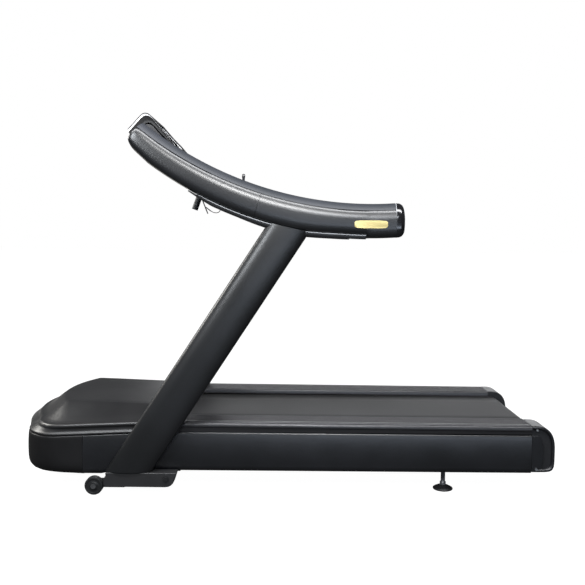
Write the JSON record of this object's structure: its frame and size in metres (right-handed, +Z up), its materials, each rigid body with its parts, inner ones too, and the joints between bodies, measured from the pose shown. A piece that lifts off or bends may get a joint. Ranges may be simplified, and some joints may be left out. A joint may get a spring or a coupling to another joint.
{
  "type": "motor-driven treadmill",
  "caption": "Flat-belt gym treadmill with a front hood, slanted posts, thick curved hand rails rising to a low console, front lift wheels and rear levelling feet.",
  "frame": {"origin": "on the floor, under the middle of the machine's outline", "axes": "+X to the rear, the open end of the belt; +Y to the right of a user who faces the console; +Z up"},
  "size_m": [2.13, 0.93, 1.492],
  "materials": {
    "frame_paint": "black powder coat",
    "lift_paint": "black powder coat",
    "deck_board": "phenolic faced",
    "belt_rubber": "fine diamond texture",
    "drive_rubber": "ribbed",
    "cushion_rubber": "matt",
    "roller_steel": "turned",
    "axle_steel": "ground",
    "flywheel_iron": "turned",
    "motor_paint": "semi gloss",
    "board_green": "resin board",
    "bolt_zinc": "zinc plated",
    "wheel_plastic": "moulded",
    "hood_plastic": "satin moulded",
    "lower_plastic": "satin moulded",
    "panel_plastic": "satin moulded",
    "rail_aluminium": "black anodised",
    "cap_plastic": "satin moulded",
    "inlet_plastic": "moulded",
    "foot_rubber": "moulded",
    "post_paint": "satin powder coat",
    "arm_shell": "satin lacquer",
    "arm_strip": "soft grip",
    "console_plastic": "fine grain",
    "lens_glass": "polished",
    "key_plastic": "membrane",
    "trim_silver": "silver lacquer",
    "well_plastic": "moulded",
    "bar_foam": "soft sleeve",
    "stick_plastic": "polished",
    "switch_plastic": "moulded",
    "stop_red": "moulded",
    "clip_plastic": "moulded",
    "lanyard_cord": "braided"
  },
  "bodies": {
    "frame": {"frame_side_left": "frame_paint", "frame_side_right": "frame_paint", "frame_cross_members": "frame_paint", "running_deck": "deck_board", "deck_cushions": "cushion_rubber", "running_belt": "belt_rubber", "roller_axles": "axle_steel", "roller_bearings": "axle_steel", "tension_bolts": "bolt_zinc", "drive_motor": "motor_paint", "drive_belt": "drive_rubber", "motor_bracket": "frame_paint", "motor_controller": "board_green", "lift_actuator": "lift_paint", "hood_cover": "hood_plastic", "lower_cover": "lower_plastic", "side_panel_left": "panel_plastic", "side_panel_right": "panel_plastic", "foot_rail_left": "rail_aluminium", "foot_rail_right": "rail_aluminium", "rear_end_caps": "cap_plastic", "rear_cross_cover": "lower_plastic", "cap_screws": "bolt_zinc", "power_inlet": "inlet_plastic", "foot_lock_nuts": "bolt_zinc", "post_left": "post_paint", "post_right": "post_paint", "post_brackets": "frame_paint", "post_bolts": "bolt_zinc", "arm_front_left": "arm_shell", "arm_front_right": "arm_shell", "arm_rear_left": "arm_shell", "arm_rear_right": "arm_shell", "arm_caps": "arm_strip", "console_housing": "console_plastic", "display_lens": "lens_glass", "keypad": "key_plastic", "console_trim": "trim_silver", "accessory_tray": "console_plastic", "bottle_wells": "well_plastic", "hand_bar": "bar_foam", "stop_switch": "switch_plastic", "safety_clip": "clip_plastic", "safety_lanyard": "lanyard_cord"},
    "lift_lever": {"lift_frame": "lift_paint", "lift_pivot_bolts": "bolt_zinc", "wheel_axles": "axle_steel"},
    "wheel_left": {"front_wheel_left": "wheel_plastic"},
    "wheel_right": {"front_wheel_right": "wheel_plastic"},
    "actuator_tube": {"lift_tube": "axle_steel"},
    "front_roller": {"front_roller": "roller_steel"},
    "rear_roller": {"rear_roller": "roller_steel"},
    "motor_rotor": {"motor_rotor": "roller_steel", "motor_flywheel": "flywheel_iron"},
    "stop_button": {"stop_button": "stop_red"},
    "joystick_left": {"joystick_left": "stick_plastic"},
    "joystick_right": {"joystick_right": "stick_plastic"},
    "foot_left": {"rear_foot_left": "foot_rubber"},
    "foot_right": {"rear_foot_right": "foot_rubber"}
  },
  "joints": [
    {"name": "lift_pivot", "type": "hinge", "parent": "frame", "child": "lift_lever", "pos_m": [-0.432, 0, 0.071], "axis": [0, -1, 0], "range_deg": [0, 37]},
    {"name": "actuator_slide", "type": "slide", "parent": "frame", "child": "actuator_tube", "axis": [-1, 0, 0], "range_m": [0, 0.03279]},
    {"name": "wheel_left_spin", "type": "hinge", "parent": "lift_lever", "child": "wheel_left", "pos_m": [-0.712, -0.423, 0.035], "axis": [0, 1, 0], "continuous": true},
    {"name": "wheel_right_spin", "type": "hinge", "parent": "lift_lever", "child": "wheel_right", "pos_m": [-0.712, 0.423, 0.035], "axis": [0, 1, 0], "continuous": true},
    {"name": "front_roller_spin", "type": "hinge", "parent": "frame", "child": "front_roller", "pos_m": [-0.7, 0, 0.205], "axis": [0, 1, 0], "continuous": true},
    {"name": "rear_roller_spin", "type": "hinge", "parent": "frame", "child": "rear_roller", "pos_m": [0.978, 0, 0.205], "axis": [0, 1, 0], "continuous": true},
    {"name": "motor_spin", "type": "hinge", "parent": "frame", "child": "motor_rotor", "pos_m": [-0.88, 0, 0.178], "axis": [0, 1, 0], "continuous": true},
    {"name": "stop_press", "type": "slide", "parent": "frame", "child": "stop_button", "axis": [-0.342, 0, -0.9397], "range_m": [0, 0.006], "stiffness_N_per_m": 900, "springref_m": -0.003},
    {"name": "joystick_left_tilt", "type": "hinge", "parent": "frame", "child": "joystick_left", "pos_m": [-0.151, -0.3, 1.186], "axis": [0, 1, 0], "range_deg": [-12, 12], "stiffness_Nm_per_rad": 0.3},
    {"name": "joystick_right_tilt", "type": "hinge", "parent": "frame", "child": "joystick_right", "pos_m": [-0.151, 0.3, 1.186], "axis": [0, 1, 0], "range_deg": [-12, 12], "stiffness_Nm_per_rad": 0.3},
    {"name": "foot_left_turn", "type": "hinge", "parent": "frame", "child": "foot_left", "pos_m": [0.645, -0.33, 0], "axis": [0, 0, 1], "continuous": true},
    {"name": "foot_right_turn", "type": "hinge", "parent": "frame", "child": "foot_right", "pos_m": [0.645, 0.33, 0], "axis": [0, 0, 1], "continuous": true}
  ],
  "couplings": [
    {"joint": "actuator_slide", "follows": "lift_pivot", "m_per_rad": 0.050466},
    {"joint": "rear_roller_spin", "follows": "front_roller_spin", "ratio": 1},
    {"joint": "motor_spin", "follows": "front_roller_spin", "ratio": 2}
  ]
}
